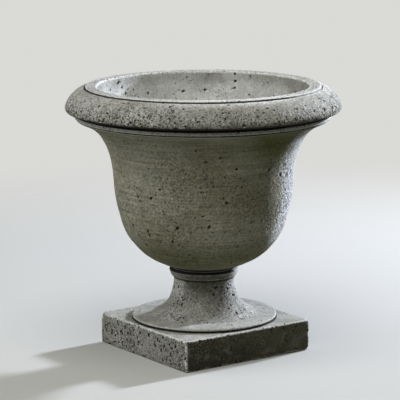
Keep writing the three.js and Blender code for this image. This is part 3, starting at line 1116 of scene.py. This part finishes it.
    def wall_curve(self) -> Array:
        """Inner side of the wall, from the mouth down, a wall's thickness inside the bell."""
        chain = self.bell_curve()
        places = np.linspace(0.0, 1.0, self.wall_steps + 1) * (len(chain) - 1)
        corners = offset_chain(chain, self.wall)[np.round(places).astype(int)][::-1]
        low = self.floor + self.floor_corner / 2.0
        corners = corners[(corners[:, 0] < self.mouth_radius) & (corners[:, 1] > low)]
        top = (self.mouth_radius, self.height - self.mouth_edge)
        return spline(np.concatenate(([top], corners)))

    def seat(self) -> Thing:
        """Ring that the bowl stands on, with the blind holes for the pins."""
        outline = Outline(self.drain, self.drain_join[1])
        outline.path(
            (self.drain, 0.0, Zone.SEAT, 0.004),
            (self.seat_radius, 0.0, Zone.SEAT, 0.0013),
            (self.seat_radius, self.seat_step + self.overlap, Zone.QUIRK, 0.001),
            (self.seat_radius - self.core, self.seat_core),
            (self.drain + self.drain_flare, self.seat_core))
        skin = Skin.turned(outline, self.seat_columns, self.base)
        flat = skin.rows(Zone.SEAT)
        flat = flat[np.abs(skin.points[flat, 0, 2] - self.base) < FLAT]
        skin.drill(flat, PINS, upwards=True)
        # The seat's outer face takes the quirk's painted shade, and its finish a darker colour for
        # it
        return self.finish(skin, "bowl_seat", "bowl", "bowl_body", StoneFinish(
            "stone_seat", dirt=(0.016, 0.015, 0.013)))

    def bell(self) -> Thing:
        """Outer side of the bell with its bead, closed through the middle of the wall."""
        curve = self.bell_curve()
        inner = offset_chain(curve, self.core)
        inner = inner[inner[:, 1] < self.bell_height - self.bell_core][::-1]
        stand, top = self.bell_top + self.bead_stand, self.bell_height + self.bead_height
        outline = Outline(self.seat_radius - self.bell_inset, self.seat_step)
        outline.line(*curve[0], Zone.BELL, 0.0025)
        outline.follow(curve, Zone.BELL, 0.00205)
        outline.path(
            (stand, self.bell_height + self.bead_height / 2.0, Zone.BAND, 0.0015),
            (stand, top, Zone.BAND, 0.0015),
            (stand - self.incised_depth * 2.0, top, Zone.BAND, 0.002),
            inner[0])
        outline.follow(inner, Zone.HIDDEN, 0.030)
        skin = Skin.turned(outline, self.bell_columns, self.base)
        x, y, z = skin.axes
        height, side = z - self.base, skin.side()
        lower = self.LOWER_BELL(height) * self.OFF_THE_SEAT(height)
        share = np.clip(0.20 + 0.70 * lower + 0.3 * self.cloud(skin, 5.0, 0.11), 0.05, 1.3)
        skin.press(self.HOLES_IN_BELL, self.rng)
        skin.scatter(self.rng, share)
        # More fine pits on the sun side are painted shadows of the relief
        skin.grit *= 0.25 + 0.6 * np.clip(share, 0.0, 1.1) + self.LIT_GRIT(side)
        right, upper = self.SHADED_FLANK(x - y), self.UPPER_BELL(height)
        # Painted shade just above the seat and on the right flank under the band
        skin.soot += self.SEAT_SOOT(height) + 0.4 * right * upper
        # Painted highlights: the half away from the shaded front is paled, most where the sun
        # falls
        lit_half_share = self.BLEACHED_FLANK(skin.side(PALE_HALF_SIDE)) * self.BLEACH_FROM(height)
        skin.rubbed += lit_half_share * (
            0.58 + self.SUN_BLEACH(side) + 0.25 * self.cloud(skin, 8.0, 0.03))
        # Colour darker towards the seat, and painted olive shade on the right flank and under the
        # band, with random stains
        skin.stain = np.clip(
            self.SEAT_STAIN(height) + upper * (0.05 + 0.95 * right) + 0.42 * right
            + 0.25 * self.cloud(skin, 7.0, 0.09), 0.0, 1.0)
        # The olive stain colour paints the green cast of the shade, and the bluish pale colour the
        # painted highlights
        return self.finish(skin, "bowl_bell", "bowl", "bowl_body", StoneFinish(
            "stone_bell", light=(0.540, 0.528, 0.458), dark=(0.400, 0.382, 0.288),
            stain=(0.29, 0.30, 0.11), worn=(0.72, 0.74, 0.76), dirt=(0.020, 0.019, 0.016),
            pit=(0.100, 0.094, 0.072), fine=0.70, coarse=0.35, grain=0.78, uneven=0.75,
            tooling=0.34))

    def rim(self) -> Thing:
        """Band, undercut groove, rolled rim, quirk and raised lip in one closed piece."""
        bead_top = self.bell_height + self.bead_height
        line = self.bell_top + self.bead_stand - self.incised_depth
        edge = self.band_radius - self.band_edge
        band_low = bead_top + self.incised_line
        band_top = band_low + self.band_height
        groove = self.band_radius - self.groove_depth
        roll_low = band_top + self.groove_height
        roll_top = self.height - self.lip_rise
        outline = Outline(self.rim_core, bead_top - self.overlap)
        outline.path(
            (line, bead_top - self.overlap),
            (line, band_low, Zone.GROOVE, 0.0009),
            (edge, band_low, Zone.GROOVE, 0.0018),
            (self.band_radius, band_low + self.band_edge, Zone.BAND, 0.0012),
            (self.band_radius, band_top - self.band_edge, Zone.BAND, 0.0013),
            (edge, band_top, Zone.BAND, 0.0012),
            (groove, band_top, Zone.GROOVE, 0.0025),
            (groove, roll_low, Zone.GROOVE, 0.0018),
            (self.roll_radius - self.roll_under, roll_low, Zone.GROOVE, 0.0024))
        outline.arc(self.roll_under, self.roll_under, -QUARTER, Zone.ROLL, 0.0014)
        outline.arc(self.roll_radius - self.roll_inner, roll_top - (roll_low + self.roll_under),
                    0.0, Zone.ROLL, 0.00145, self.roll_exponent)
        outline.path(
            ((self.roll_inner + self.lip_radius) / 2.0, roll_top - self.quirk_depth,
             Zone.QUIRK, 0.0012),
            (self.lip_radius, roll_top, Zone.QUIRK, 0.0012),
            (self.lip_radius, self.height - self.lip_edge, Zone.QUIRK, 0.0009))
        outline.arc(self.lip_edge, self.lip_edge, 0.0, Zone.LIP, 0.0009)
        outline.line(self.mouth_radius + self.mouth_edge, self.height, Zone.LIP, 0.0017)
        outline.arc(self.mouth_edge, self.mouth_edge, QUARTER, Zone.LIP, 0.0011)
        outline.path(
            (self.mouth_radius + self.throat_flare, self.height - self.throat_depth,
             Zone.WALL, 0.003),
            (self.mouth_radius + self.throat_flare * 2.0, self.height - self.throat_core))
        skin = Skin.turned(outline, self.rim_columns, self.base)
        skin.chip(self.CHIPS_IN_LIP, self.rng)
        skin.press(self.HOLES_IN_ROLL, self.rng)
        x, y, z = skin.axes
        tilt, side, right = skin.normals()[..., 2], skin.side(), x - y
        lower, patch = self.ROLL_FLANK(tilt), self.cloud(skin, 5.0, 0.10)
        share = np.clip(
            0.08 + 0.80 * lower + 0.35 * patch + 0.45 * lower * self.cloud(skin, 6.0, 0.035)
            + self.END_HOLES(np.abs(side)), 0.03, 1.5)
        skin.scatter(self.rng, share)
        # The lit end on the right is painted pale and kept out of the painted shade; the fronts of
        # the crest and the lip get painted highlights
        lit_end_share = self.CLEAN_END(right)
        off_lit_end, front = 1.0 - lit_end_share, self.FRONT(-y) * (1.0 - 0.6 * lit_end_share)

        roll = skin.rows(Zone.ROLL)
        # Painted shade on the roll's lower side, most on the right, with random blotches
        shade = self.ROLL_SHADE(tilt) * (0.20 + self.RIGHT_SHADE(right))
        blotch = 0.25 * patch + 0.30 * self.cloud(skin, 9.0, 0.024)
        skin.grit[roll] *= 0.12 + 0.88 * share[roll]
        skin.stain[roll] = np.clip(0.02 + 0.92 * shade + blotch, 0.0, 1.0)[roll]
        # Painted shade under the roll, and painted highlights on its front crest and its sun end
        skin.soot[roll] += self.UNDER_SOOT(tilt)[roll]
        skin.rubbed[roll] += (0.6 * front * self.ROLL_CREST(tilt))[roll]
        skin.rubbed[roll] += self.SUN_END(side)[roll]

        quirk, band, lip = (skin.rows(zone) for zone in (Zone.QUIRK, Zone.BAND, Zone.LIP))
        # Painted shade in the quirk, over the band's top under the roll and on the lip's outer
        # face, fading at the lit end, where the band is painted pale
        skin.soot[quirk] *= off_lit_end[quirk]
        under = Ramp(*self.BAND_DIRT_SHARES * self.band_height)(z - self.base - band_low)
        skin.soot[band] = (under * off_lit_end)[band]
        skin.stain[band] = 0.50 * off_lit_end[band]
        skin.rubbed[band] += 1.3 * lit_end_share[band]
        skin.rubbed[lip] += 0.55 * front[lip]
        outside = np.hypot(x, y) > self.lip_crest
        below = Ramp(*self.LIP_DIRT_SHARES * self.lip_edge)(self.base + self.height - z)
        skin.soot[lip] += (outside * below * (1.0 - 0.5 * lit_end_share))[lip]
        return self.finish(skin, "bowl_rim", "bowl", "bowl_body", StoneFinish(
            "stone_rim", stain=(0.40, 0.37, 0.27), grain=1.05, fine=2.2, coarse=2.2,
            uneven=0.62))

    def inside(self) -> Thing:
        """Inner side of the wall, floor and drain hole in one closed piece."""
        wall = self.wall_curve()
        outer = offset_chain(wall, self.core)[::-1]
        edge, under = wall[-1, 0] - self.floor_corner, self.floor - self.core
        split = np.searchsorted(-wall[:, 1], self.fine_wall - self.height)
        outline = Outline(self.mouth_radius + self.mouth_inset,
                          self.height - self.mouth_edge / 2.0)
        outline.line(*wall[0], Zone.WALL, 0.0012)
        outline.follow(wall[:split + 1], Zone.WALL, 0.0016)
        outline.follow(wall[split:], Zone.WALL, 0.0029)
        outline.path(
            (edge, self.floor, Zone.FLOOR, 0.003),
            (self.drain, self.floor, Zone.FLOOR, 0.003),
            (self.drain, self.drain_join[0], Zone.FLOOR, 0.004),
            (self.drain + self.drain_flare, under),
            (edge, under),
            outer[0])
        outline.follow(outer, Zone.HIDDEN, 0.040)
        skin = Skin.turned(outline, self.wall_columns, self.base)
        skin.press(self.HOLES_IN_WALL, self.rng)
        skin.scatter(self.rng, np.clip(0.8 + 0.8 * self.cloud(skin, 5.0, 0.10), 0.1, 1.5))
        x, y, z = skin.axes
        depth = self.height - (z - self.base)
        # A painted pool of light on one side below the mouth, and painted shade under the mouth,
        # deeper down and on the other side, with random stains
        bright = self.BRIGHT_WALL(x + y) * self.BELOW_MOUTH(depth)
        skin.stain = np.clip(
            0.15 - 0.15 * bright + self.MOUTH_STAIN(depth) + self.DEEP_STAIN(depth)
            + self.WALL_SHADE(x - y) + 0.35 * self.cloud(skin, 7.0, 0.05), 0.0, 1.0)
        # Its pale tones carry the painted pool of light
        return self.finish(skin, "bowl_inside", "bowl", "bowl_body", StoneFinish(
            "stone_inside", light=(0.74, 0.74, 0.72), dark=(0.55, 0.55, 0.53),
            stain=(0.45, 0.45, 0.42), coarse=0.7))

    def build(self) -> list[Thing]:
        """Make all the bowl's pieces."""
        return [self.seat(), self.bell(), self.rim(), self.inside()]


@dataclass
class Pedestal(Casting):
    """Foot, waisted stem and collar in one closed piece."""

    foot_edge_height: float = 0.005
    foot_edge_round: float = 0.004
    foot_crown: float = 0.0014
    foot_top: float = 0.098
    waist: float = 0.0563
    collar_taper: float = 0.004
    collar_height: float = 0.012
    collar_radius: float = 0.065
    collar_shadow: float = 0.0018
    collar_edge: float = 0.0015
    bore: float = BORE
    columns: int = 480

    HOLES = Hole.ring(
        (-77, 118, 58, 2.7, 3.0), (-65, 105, 61, 2.9, 3.2), (-108, 112, 59, 2.5, 2.7),
        (-103, 124, 57, 2.8, 2.8, 1.4), (178, 121, 57, 2.4, 2.6), (-164, 92, 66, 2.6, 2.8),
        (-78, 76, 81, 2.9, 3.0), (-100, 66, 115, 1.9, 1.8))

    # Painted light and shade, by height, by side, and by distance from the ends of the stem and
    # the collar
    STEM_STAIN = Ramp(0.030, 0.080, 0.65)
    PALE_FROM = Ramp(0.020, 0.055)
    PALE_FLANK = Ramp(0.55, 0.80)
    STAINED_FRONT = Ramp(0.85, 0.45)
    PALE_COLLAR = Ramp(0.75, 0.95, 0.9)
    OUT_OF_SUN = Ramp(0.95, 0.85)
    FLANK_TURN = 0.05
    NECK_SOOT = Ramp(-0.005, -0.001)
    COLLAR_SOOT = Ramp(-0.0028, -0.0008)

    def build(self) -> list[Thing]:
        """Make the pedestal's piece."""
        low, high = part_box("pedestal")
        base, height, foot = low[2], high[2] - low[2], high[0]
        stem_low = self.foot_edge_height + self.foot_crown
        rise = height - self.collar_height - self.collar_shadow - stem_low
        curve = spline(np.stack((self.waist + (self.foot_top - self.waist) * STEM_SHARES[:, 1],
                                 stem_low + rise * STEM_SHARES[:, 0]), axis=1))
        outline = Outline(self.bore, 0.0)
        outline.path(
            (ROD_RING[0], 0.0, Zone.SEAT, 0.006),
            (ROD_RING[1], 0.0, Zone.SEAT, 0.0014),
            (foot - self.foot_edge_round, 0.0, Zone.SEAT, 0.012))
        for start in (-QUARTER, 0.0):
            outline.arc(self.foot_edge_round, self.foot_edge_height / 2.0, start, Zone.FOOT,
                        0.0009)
        outline.line(*curve[0], Zone.FOOT, 0.0016)
        outline.follow(curve, Zone.STEM, 0.0011)
        outline.path(
            (self.collar_radius - self.collar_taper, height - self.collar_height,
             Zone.COLLAR, 0.0012),
            (self.collar_radius, height - self.collar_edge, Zone.COLLAR, 0.0012),
            (self.collar_radius - self.collar_edge, height, Zone.COLLAR, 0.0011),
            (PIN_RING[1], height, Zone.SEAT, 0.0025),
            (PIN_RING[0], height, Zone.SEAT, 0.0012),
            (self.bore, height, Zone.SEAT, 0.004))
        skin = Skin.turned(outline, self.columns, base)
        seat = skin.rows(Zone.SEAT)
        above = skin.points[seat, 0, 2] - base > height / 2.0
        skin.drill(seat[above], PINS, upwards=False)
        skin.drill(seat[~above], RODS, upwards=True)
        skin.press(self.HOLES, self.rng)
        skin.scatter(self.rng, np.clip(0.8 + 0.9 * self.cloud(skin, 5.0, 0.06), 0.1, 1.6))
        level, side = skin.points[..., 2] - base, skin.side()
        flank = np.abs(side - self.FLANK_TURN)
        stem, collar = skin.rows(Zone.STEM), skin.rows(Zone.COLLAR)
        # Painted shade under the collar and along its top out of the sun; painted highlights on
        # the collar's sun side and on the stem's flanks, more on the left
        skin.soot[stem] += self.NECK_SOOT(level - stem_low - rise)[stem]
        skin.soot += self.COLLAR_SOOT(level - height) * self.OUT_OF_SUN(side)
        skin.rubbed[collar] += self.PALE_COLLAR(side)[collar]
        pale = (0.5 + 0.25 * (side < 0.0)) * self.PALE_FLANK(flank)
        skin.rubbed[stem] += (pale * self.PALE_FROM(level))[stem]
        # Painted shade down the middle of the stem's front, with random stains
        skin.stain = np.clip(self.STEM_STAIN(level) * self.STAINED_FRONT(flank)
                             + 0.3 * self.cloud(skin, 7.0, 0.05), 0.0, 1.0)
        return [self.finish(skin, "pedestal_stone", "pedestal", "stand", StoneFinish(
            "stone_pedestal", light=(0.520, 0.515, 0.490), worn=(0.62, 0.62, 0.60), grain=0.80,
            uneven=0.50, coarse=0.9))]


@dataclass
class Plinth(Casting):
    """Square block with crumbled arrises, in one closed piece."""

    arris: float = 0.0025
    bore: float = BORE
    under_foot: float = 0.125
    columns: int = 800

    HOLES = Hole.table(*((-140, along, up, radius, radius * 1.3) for along, up, radius in (
        (-20, 46, 3.7), (8, 44, 2.8), (-66, 52, 3.1), (-48, 43, 3.0), (-40, 30, 3.2),
        (-106, 41, 3.1), (-60, 26, 3.0), (-88, 42, 2.6), (125, 34, 2.8), (74, 33, 2.5),
        (58, 44, 2.7), (-122, 20, 2.4))))
    CHIPS = Hole.table(
        (140, -140, 1, 5.5, 3.0, 1.0), (140, -140, 58, 6.0, 2.2, 1.2),
        (140, -140, 30, 3.5, 1.0, 1.5), (-140, 140, 57, 7.0, 2.8, 1.2),
        (-140, 110, 0, 6.0, 2.2, 1.4), (-60, -140, 58, 3.0, 1.0, 1.5),
        (60, -140, 58, 2.8, 0.9, 1.6), (-140, 20, 58, 5.0, 2.0, 1.5),
        (140, 50, 58, 6.0, 2.2, 1.6), (30, 140, 58, 7.0, 2.6, 1.5),
        (140, 140, 57, 8.0, 3.2, 1.1))

    # Holes, wear and painted shade, by height, by place along a face, and by distance from the
    # axis
    UPPER_HOLES = Ramp(0.014, 0.036, 0.45)
    CRUST = Ramp(0.046, 0.057, 0.35)
    SPLASHED = Ramp(0.012, 0.0, 0.35)
    DAMP_BELOW = Ramp(0.044, 0.008)
    DAMP_ALONG = Ramp(0.14, -0.04)
    SMOOTH_ALONG = Ramp(-0.10, -0.02)
    SHADED_FACE = Ramp(0.136, 0.139)
    PALE_ARRIS = Ramp(0.1345, 0.1385, 0.8)
    ROUND_THE_FOOT = Ramp(0.1368, 0.1345)

    def grid(self, size: Array, height: Array, roundness: Array) -> Array:
        """Rings round the block. A square ring is a core square plus the arris along the
        unit offset from it, which rounds its corners; a round ring is the unit direction
        times its size; roundness blends the two.

        Args:
            size: half width or radius of each ring.
            height: height of each ring.
            roundness: 0 for a square ring, 1 for a round one.

        Returns:
            The points, rings by columns.
        """
        side = self.columns // 4
        share, one = (np.arange(side) + 0.5) / side * 2.0 - 1.0, np.ones(side)
        path = np.concatenate([np.stack(pair, axis=1) for pair in (
            (one, share), (-share, one), (-one, -share), (share, -one))])
        size, height, roundness = (values[:, None, None] for values in (size, height, roundness))
        wide = path * size
        core = np.clip(wide, self.arris - size, size - self.arris)
        square = core + unit(wide - core) * self.arris
        plan = square * (1.0 - roundness) + unit(path) * size * roundness
        return np.concatenate((plan, np.repeat(height, self.columns, axis=1)), axis=-1)

    def build(self) -> list[Thing]:
        """Make the plinth's piece."""
        _, (half, _, top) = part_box("plinth")
        inner = half - self.arris
        outline = Outline(self.bore, 0.0)
        outline.line(inner, 0.0, Zone.SEAT, 0.018)
        outline.arc(self.arris, self.arris, -QUARTER, Zone.SIDE, 0.0013)
        outline.line(half, top - self.arris, Zone.SIDE, 0.0014)
        outline.arc(self.arris, self.arris, 0.0, Zone.TOP, 0.0013)
        outline.path(
            (self.under_foot, top, Zone.TOP, 0.00037),
            (ROD_RING[1], top, Zone.SEAT, 0.016),
            (ROD_RING[0], top, Zone.SEAT, 0.0016),
            (self.bore, top, Zone.SEAT, 0.006))
        size, height = outline.points.T
        flat = np.minimum(height, top - height) < FLAT
        roundness = flat * np.clip((inner - size) / (inner - self.under_foot), 0.0, 1.0)
        skin = Skin(self.grid(size, height, roundness), outline.zones)
        seat = skin.rows(Zone.SEAT)
        seat = seat[(size[seat] < self.under_foot / 2.0) & (height[seat] > top / 2.0)]
        skin.drill(seat, RODS, upwards=False)
        skin.chip(self.CHIPS, self.rng)
        skin.press(self.HOLES, self.rng)
        x, y, level = skin.axes
        shaded = self.SHADED_FACE(-y) * (level < top - self.arris)
        smooth = shaded * self.SMOOTH_ALONG(x)
        upper = (0.80 + self.UPPER_HOLES(level)) * (0.85 + 1.3 * self.cloud(skin, 5.0, 0.045))
        skin.scatter(self.rng, np.clip(upper, 0.05, 2.0) * (1.0 - 0.75 * smooth))
        skin.grit *= 1.0 - 0.45 * smooth
        on_top = level > top - self.arris / 4.0
        crust = self.CRUST(level) * (level < top - FLAT) * (1.0 - shaded)
        skin.rubbed += self.PALE_ARRIS(np.minimum(np.abs(x), np.abs(y))) + crust
        cloud, blotch = self.cloud(skin, 7.0, 0.05), self.cloud(skin, 9.0, 0.018)
        # Painted shade over the shaded face, the top a little darker and the colour darker towards
        # the base, with random stains elsewhere
        skin.stain = np.clip(
            shaded * (1.10 + 0.45 * blotch) + 0.14 * on_top
            + self.SPLASHED(level) + 0.35 * cloud * (1.0 - shaded), 0.0, 1.0)
        # The shaded face darker towards its bottom and its back end, and a painted shade line
        # round the foot
        low_dark = self.DAMP_BELOW(level) * self.DAMP_ALONG(x)
        skin.soot += shaded * (0.20 + 0.30 * blotch + 0.30 * low_dark)
        skin.soot += self.ROUND_THE_FOOT(np.hypot(x, y)) * on_top
        # The olive stain colour paints the shaded face's shade
        return [self.finish(skin, "plinth_stone", "plinth", "stand", StoneFinish(
            "stone_plinth", light=(0.520, 0.515, 0.490), worn=(0.84, 0.84, 0.82),
            stain=(0.22, 0.22, 0.15), grain=0.80, uneven=0.40, fine=1.3, coarse=2.2))]


@dataclass
class Fittings:
    """Rings, sleeve, pins and rods: frame meshes that keep their shape and get finishes."""

    effects: Effects

    FINISHES = (
        (("bowl_seat_ring",), FittingFinish(
            "rubber_ring", (0.022, 0.022, 0.021), (0.012, 0.012, 0.012), (0.72, 0.88),
            grain_depth=0.06)),
        # The mortar bed's near-black colour paints the shade in the foot's joint
        (("foot_bed_ring",), FittingFinish(
            "damp_mortar", (0.085, 0.080, 0.066), (0.050, 0.047, 0.040), (0.90, 0.98),
            grain_scale=300.0, grain_depth=0.5, speckle=0.5)),
        (("drain_sleeve",), FittingFinish(
            "sleeve_plastic", (0.125, 0.138, 0.130), (0.095, 0.105, 0.100), (0.42, 0.58),
            grain_depth=0.04, line_depth=0.03)),
        (PINS + RODS, FittingFinish(
            "bar_steel", (0.60, 0.61, 0.62), (0.44, 0.45, 0.46), (0.24, 0.42), metallic=1.0,
            grain_depth=0.03, line_depth=0.12)),
    )

    def dress(self) -> None:
        """Give each fitting its finish."""
        for nodes, finish in self.FINISHES:
            material = finish.build(self.effects)
            for node in nodes:
                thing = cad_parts[node]
                for slot in thing.material_slots:
                    slot.material = material
                LOG.info("%s: %s", node, finish.name)


# Studio

@dataclass(frozen=True)
class Lamp:
    """Soft round lamp that looks at the urn from an azimuth and elevation in degrees.

    level is the light that it gives on a surface that faces it, where 1 renders a colour
    as it is written.
    """

    name: str
    azimuth: float
    elevation: float
    distance: float
    size: float
    level: float
    tint: Colour

    def build(self, target: Vector) -> None:
        """Hang the lamp: its power is level * (pi * distance) squared."""
        data = bpy.data.lights.new(self.name, "AREA")
        data.shape = "DISK"
        data.size = self.size
        data.energy = self.level * (math.pi * self.distance) ** 2
        data.color = self.tint
        azimuth, elevation = math.radians(self.azimuth), math.radians(self.elevation)
        way = Vector((math.cos(elevation) * math.cos(azimuth),
                      math.cos(elevation) * math.sin(azimuth), math.sin(elevation)))
        thing = bpy.data.objects.new(self.name, data)
        thing.location = target + way * self.distance
        thing.rotation_euler = way.to_track_quat("Z", "Y").to_euler()
        bpy.context.scene.collection.objects.link(thing)


@dataclass(frozen=True)
class PhotoView:
    """Viewpoint of the photograph, fitted to the outlines of rim, foot and plinth."""

    turn: float = math.radians(-35.27)
    place: tuple[float, float, float] = (-0.0112, -3.9915, 1.0456)
    pan: float = math.radians(-0.0615)
    dip: float = math.radians(10.887)
    tilt: float = math.radians(-0.306)
    lens: float = 197.75
    sensor: float = 36.0

    def build(self) -> None:
        """Set up the scene's camera."""
        data = bpy.data.cameras.new("photo_view")
        data.lens = self.lens
        data.sensor_width = self.sensor
        data.clip_start, data.clip_end = 0.05, 60.0
        camera = bpy.data.objects.new("photo_view", data)
        turn = Matrix.Rotation(self.turn, 4, "Z")
        aim = (Matrix.Rotation(self.turn + self.pan, 4, "Z")
               @ Matrix.Rotation(QUARTER - self.dip, 4, "X")
               @ Matrix.Rotation(self.tilt, 4, "Z"))
        camera.matrix_world = Matrix.Translation(turn @ Vector(self.place)) @ aim
        bpy.context.scene.collection.objects.link(camera)
        bpy.context.scene.camera = camera


@dataclass(frozen=True)
class Studio:
    """Plain pale floor that fades into a pale background, and soft light."""

    target: Vector = Vector((0.0, 0.0, 0.28))
    floor_radius: float = 9.0
    floor_corners: int = 96
    fade_from: float = 0.75
    fade_to: float = 2.1
    pale: Colour = (0.58, 0.58, 0.565)
    backdrop: Colour = (0.70, 0.70, 0.68)
    bounce: Colour = (0.13, 0.13, 0.10)
    horizon: float = 0.025
    zenith: float = 0.06
    sky: Colour = (1.0, 1.0, 0.90)

    LAMPS = (
        Lamp("key_lamp", 4.5, 18.0, 4.0, 0.36, 1.62, (0.945, 1.0, 1.12)),
        Lamp("left_lamp", 142.0, 26.0, 3.5, 2.6, 0.29, (0.98, 1.0, 0.99)),
        Lamp("top_lamp", -130.0, 70.0, 3.5, 2.4, 0.46, (1.0, 1.0, 0.98)),
        Lamp("front_lamp", -150.0, 40.0, 3.5, 2.6, 0.18, (1.0, 0.99, 0.84)),
    )

    def floor(self) -> None:
        """Floor disc, one polygon whose corners stand evenly round a circle. The camera sees
        it pale and fading into the backdrop, and it throws back a dimmer grey light."""
        count = self.floor_corners
        angle = np.arange(count) * (2.0 * math.pi / count)
        rim = np.stack((np.cos(angle), np.sin(angle), np.zeros(count)), axis=1)
        mesh = bpy.data.meshes.new("floor")
        mesh.from_pydata((rim * self.floor_radius).tolist(), [], [list(range(count))])
        thing = bpy.data.objects.new("floor", mesh)
        bpy.context.scene.collection.objects.link(thing)
        material, sheet, shader, place = new_material("floor_paint")
        seen = sheet.seen()
        sheet.feed(shader.inputs["Base Color"], sheet.blend(seen, self.bounce, self.pale))
        shader.inputs["Roughness"].default_value = 0.9
        shader.inputs["Specular IOR Level"].default_value = 0.1
        reach = sheet.add("VectorMath", {0: place}, operation="LENGTH").outputs["Value"]
        far = sheet.times(sheet.span(reach, self.fade_from, self.fade_to), seen)
        clear = sheet.add("BsdfTransparent").outputs[0]
        mixed = sheet.add("MixShader", {0: far, 1: shader.outputs[0], 2: clear})
        sheet.feed(material.node_tree.nodes["Material Output"].inputs["Surface"],
                   mixed.outputs[0])
        mesh.materials.append(material)

    def world(self) -> None:
        """Soft sky, brighter overhead than at the horizon, behind a plain pale backdrop."""
        world = bpy.data.worlds.new("studio")
        world.use_nodes = True
        bpy.context.scene.world = world
        sheet = Sheet(world.node_tree)
        sky = world.node_tree.nodes["Background"]
        way = sheet.add("TexCoord").outputs["Generated"]
        up = sheet.add("SeparateXYZ", {0: way}).outputs[2]
        level = sheet.times(sheet.maths("MAXIMUM", up, 0.0), self.zenith - self.horizon,
                            self.horizon)
        sheet.feed(sky.inputs["Color"], self.sky)
        sheet.feed(sky.inputs["Strength"], level)
        plain = sheet.add("Background", {"Color": self.backdrop, "Strength": 1.0})
        seen = sheet.seen()
        mixed = sheet.add("MixShader", {
            0: seen, 1: sky.outputs[0], 2: plain.outputs[0]})
        sheet.feed(world.node_tree.nodes["World Output"].inputs["Surface"], mixed.outputs[0])

    def build(self) -> None:
        """Set up floor, world and lamps."""
        bpy.context.scene.view_settings.view_transform = "Standard"
        self.floor()
        self.world()
        for lamp in self.LAMPS:
            lamp.build(self.target)


def main() -> None:
    """Build the studio, the castings and the fittings' finishes."""
    logging.basicConfig(level=logging.INFO, format="%(message)s")
    PhotoView().build()
    Studio().build()
    noise, rng, effects = LatticeNoise(SEED), np.random.default_rng(SEED), Effects()
    for casting in (Bowl, Pedestal, Plinth):
        pieces = casting(noise, rng, effects).build()
        LOG.info("%s: %d pieces", casting.__name__, len(pieces))
    Fittings(effects).dress()


if __name__ == "__main__":
    main()
